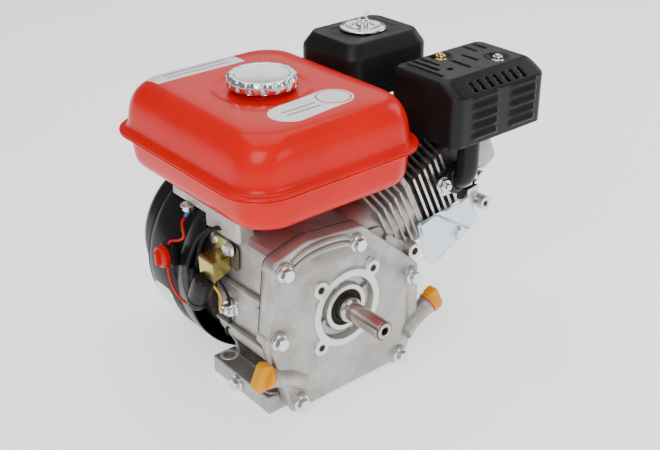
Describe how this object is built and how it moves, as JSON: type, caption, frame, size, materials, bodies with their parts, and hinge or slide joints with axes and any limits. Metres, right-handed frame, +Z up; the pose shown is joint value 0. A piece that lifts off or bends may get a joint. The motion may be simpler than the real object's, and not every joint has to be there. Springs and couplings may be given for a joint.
{
  "type": "small gasoline engine",
  "caption": "Air-cooled inclined single-cylinder gasoline engine with horizontal output shaft, top fuel tank, recoil starter, silencer and box air cleaner.",
  "frame": {"origin": "middle of the engine's footprint, on the plane that the feet stand on", "axes": "-Y along the output shaft towards its tip, +X towards the cylinder head, +Z up"},
  "size_m": [0.38, 0.312, 0.331],
  "materials": {
    "cast_aluminium": "as cast, matt",
    "dark_casting": "blackened casting",
    "machined_steel": "ground",
    "zinc_plate": "bright zinc",
    "yellow_zinc": "yellow passivated zinc",
    "chrome": "polished",
    "red_paint": "gloss",
    "black_paint": "satin",
    "black_plastic": "textured",
    "yellow_plastic": "satin",
    "red_plastic": "gloss",
    "black_rubber": "matt",
    "cast_iron": "machined cast iron",
    "gasket_fibre": "fibre sheet",
    "filter_foam": "oiled foam",
    "rope_fibre": "braided cord"
  },
  "bodies": {
    "engine_block": {"crankcase": "cast_aluminium", "crankcase_cover": "cast_aluminium", "cover_bolt_1": "zinc_plate", "cover_bolt_2": "zinc_plate", "cover_bolt_3": "zinc_plate", "cover_bolt_4": "zinc_plate", "cover_bolt_5": "zinc_plate", "cover_bolt_6": "zinc_plate", "cylinder_head": "dark_casting", "head_gasket": "gasket_fibre", "cylinder_liner": "cast_iron", "rocker_cover": "cast_aluminium", "spark_plug": "zinc_plate", "main_bearing_pto": "machined_steel", "main_bearing_flywheel": "machined_steel", "oil_seal_pto": "black_rubber", "ignition_coil": "black_plastic", "blower_housing": "black_paint", "recoil_cover": "black_paint", "fuel_tank_lower": "red_paint", "fuel_tank_upper": "red_paint", "muffler_body": "black_paint", "muffler_guard": "black_paint", "exhaust_pipe": "black_paint", "air_filter_base": "black_plastic", "air_filter_element": "filter_foam", "carburetor_body": "cast_aluminium", "float_bowl": "zinc_plate", "control_bracket": "zinc_plate", "stop_switch_base": "black_plastic", "oil_alert_unit": "black_plastic", "oil_alert_clamp": "yellow_zinc", "oil_level_switch": "zinc_plate", "oil_drain_plug": "zinc_plate", "lower_shroud": "zinc_plate"},
    "crank": {"crankshaft": "machined_steel", "shaft_key": "machined_steel", "crank_gear": "machined_steel", "flywheel": "cast_iron", "cooling_fan": "black_plastic", "starter_cup": "zinc_plate", "flywheel_nut": "machined_steel"},
    "cam": {"camshaft": "cast_iron"},
    "piston_group": {"piston": "cast_aluminium", "wrist_pin": "machined_steel"},
    "rod_group": {"connecting_rod": "cast_aluminium"},
    "starter_reel": {"recoil_reel": "black_plastic", "starter_rope": "rope_fibre"},
    "starter_grip": {"recoil_handle": "black_rubber"},
    "tank_cap_lift": {"fuel_cap_gasket": "black_rubber"},
    "tank_cap": {"fuel_cap": "chrome"},
    "oil_cap_left": {"oil_filler_cap_left": "yellow_plastic"},
    "oil_cap_right": {"oil_filler_cap_right": "yellow_plastic"},
    "filter_lid": {"air_filter_cover": "black_plastic"},
    "filter_nut": {"air_filter_wing_nut": "chrome"},
    "choke": {"choke_lever": "black_plastic"},
    "fuel_valve": {"fuel_valve_lever": "black_plastic"},
    "throttle": {"throttle_lever": "zinc_plate"},
    "stop_switch": {"stop_switch_knob": "red_plastic"},
    "plug_cap": {"spark_plug_cap": "black_rubber"}
  },
  "joints": [
    {"name": "crankshaft_spin", "type": "hinge", "parent": "engine_block", "child": "crank", "pos_m": [-0.071, -0.103, 0.106], "axis": [0, 1, 0], "continuous": true},
    {"name": "camshaft_spin", "type": "hinge", "parent": "engine_block", "child": "cam", "pos_m": [-0.01939, -0.103, 0.06986], "axis": [0, 1, 0], "continuous": true},
    {"name": "piston_slide", "type": "slide", "parent": "engine_block", "child": "piston_group", "axis": [-0.9063, 0, -0.4226], "range_m": [0, 0.045]},
    {"name": "rod_swing", "type": "hinge", "parent": "piston_group", "child": "rod_group", "pos_m": [0.02552, -0.031, 0.15101], "axis": [0, 1, 0], "range_deg": [-15.5, 15.5], "deforming": ["connecting_rod"]},
    {"name": "recoil_pull", "type": "slide", "parent": "engine_block", "child": "starter_grip", "axis": [1, 0, 0], "range_m": [0, 0.6], "stiffness_N_per_m": 12},
    {"name": "recoil_reel_spin", "type": "hinge", "parent": "engine_block", "child": "starter_reel", "pos_m": [-0.071, 0.129, 0.106], "axis": [0, 1, 0], "range_deg": [0, 748]},
    {"name": "fuel_cap_lift", "type": "slide", "parent": "engine_block", "child": "tank_cap_lift", "axis": [0, 0, 1], "range_m": [0, 0.05]},
    {"name": "fuel_cap_twist", "type": "hinge", "parent": "tank_cap_lift", "child": "tank_cap", "pos_m": [-0.076, 0.017, 0.31], "axis": [0, 0, 1], "range_deg": [0, 90]},
    {"name": "oil_cap_left_pull", "type": "slide", "parent": "engine_block", "child": "oil_cap_left", "axis": [-0.9119, 0, 0.4104], "range_m": [0, 0.05]},
    {"name": "oil_cap_right_pull", "type": "slide", "parent": "engine_block", "child": "oil_cap_right", "axis": [0.9119, 0, 0.4104], "range_m": [0, 0.05]},
    {"name": "filter_cover_lift", "type": "slide", "parent": "engine_block", "child": "filter_lid", "axis": [0, 0, 1], "range_m": [0, 0.07]},
    {"name": "wing_nut_spin", "type": "hinge", "parent": "filter_lid", "child": "filter_nut", "pos_m": [0.087, 0.057, 0.32], "axis": [0, 0, 1], "continuous": true},
    {"name": "choke_swing", "type": "hinge", "parent": "engine_block", "child": "choke", "pos_m": [0.126, 0.037, 0.198], "axis": [1, 0, 0], "range_deg": [-45, 0]},
    {"name": "fuel_valve_swing", "type": "hinge", "parent": "engine_block", "child": "fuel_valve", "pos_m": [0.126, 0.028, 0.184], "axis": [1, 0, 0], "range_deg": [0, 90]},
    {"name": "throttle_swing", "type": "hinge", "parent": "engine_block", "child": "throttle", "pos_m": [0.032, 0.072, 0.211], "axis": [0, 0, 1], "range_deg": [-25, 25]},
    {"name": "stop_switch_turn", "type": "hinge", "parent": "engine_block", "child": "stop_switch", "pos_m": [-0.1706, 0.052, 0.137], "axis": [-1, 0, 0], "range_deg": [0, 60]},
    {"name": "plug_cap_pull", "type": "slide", "parent": "engine_block", "child": "plug_cap", "axis": [0.2653, 0.9345, -0.2372], "range_m": [0, 0.04]}
  ],
  "couplings": [
    {"joint": "camshaft_spin", "follows": "crankshaft_spin", "ratio": -0.5},
    {"joint": "recoil_reel_spin", "follows": "recoil_pull", "rad_per_m": 21.739}
  ]
}
